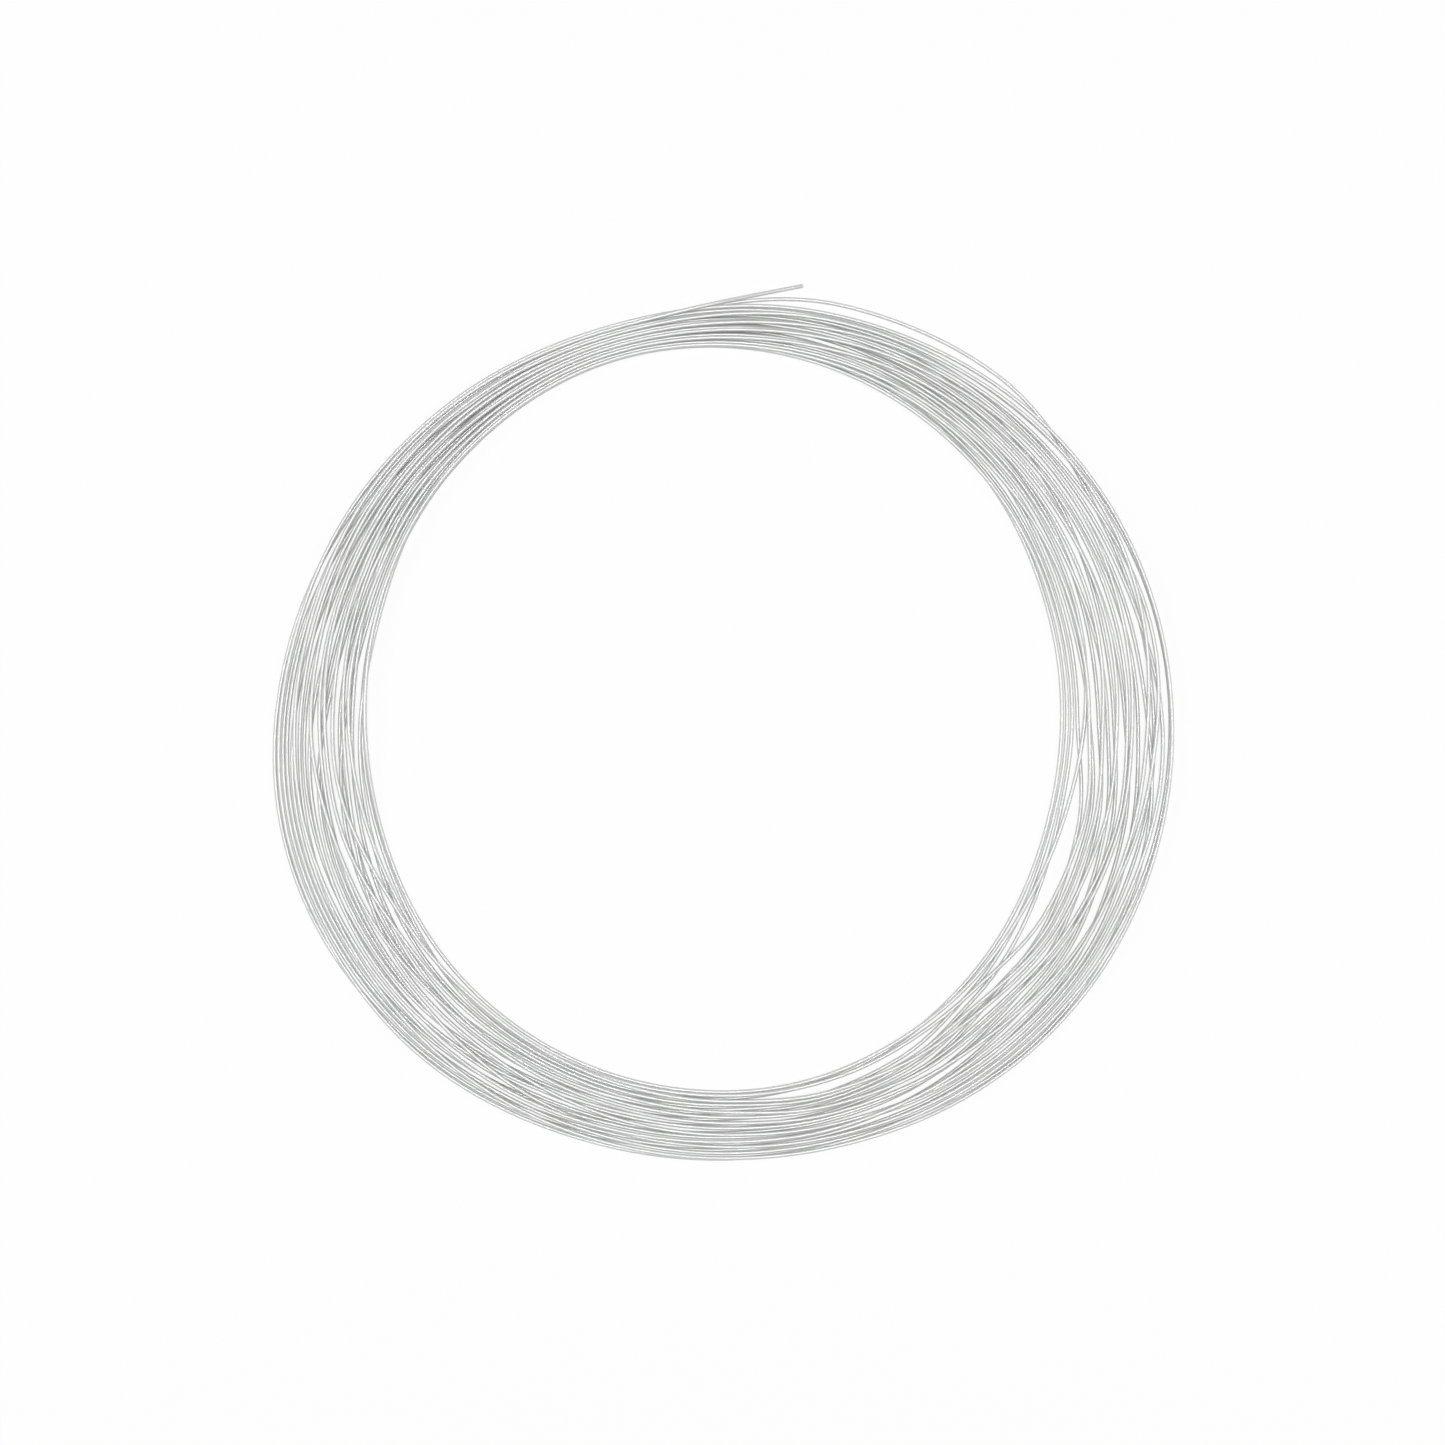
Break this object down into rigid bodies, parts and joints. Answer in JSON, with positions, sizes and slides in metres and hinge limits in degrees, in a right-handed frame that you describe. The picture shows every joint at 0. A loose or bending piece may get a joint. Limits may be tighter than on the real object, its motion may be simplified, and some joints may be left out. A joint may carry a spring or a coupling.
{
  "type": "racket string coil",
  "caption": "Flat loose coil of thin translucent nylon racket string, drawn in to a narrow waist at one side, with a short free end beside the waist.",
  "frame": {"origin": "middle of the whole outline seen from above, on the surface that the coil lies on", "axes": "+Z up, out of the surface that the coil lies on; +Y towards the waist's side of the ring; +X to the right when seen from above with +Y up"},
  "size_m": [0.1558, 0.1518, 0.0039],
  "materials": {
    "racket_string": "glossy translucent nylon, natural white"
  },
  "bodies": {
    "root": {"string_coil": "racket_string", "string_tail": "racket_string"}
  },
  "joints": []
}
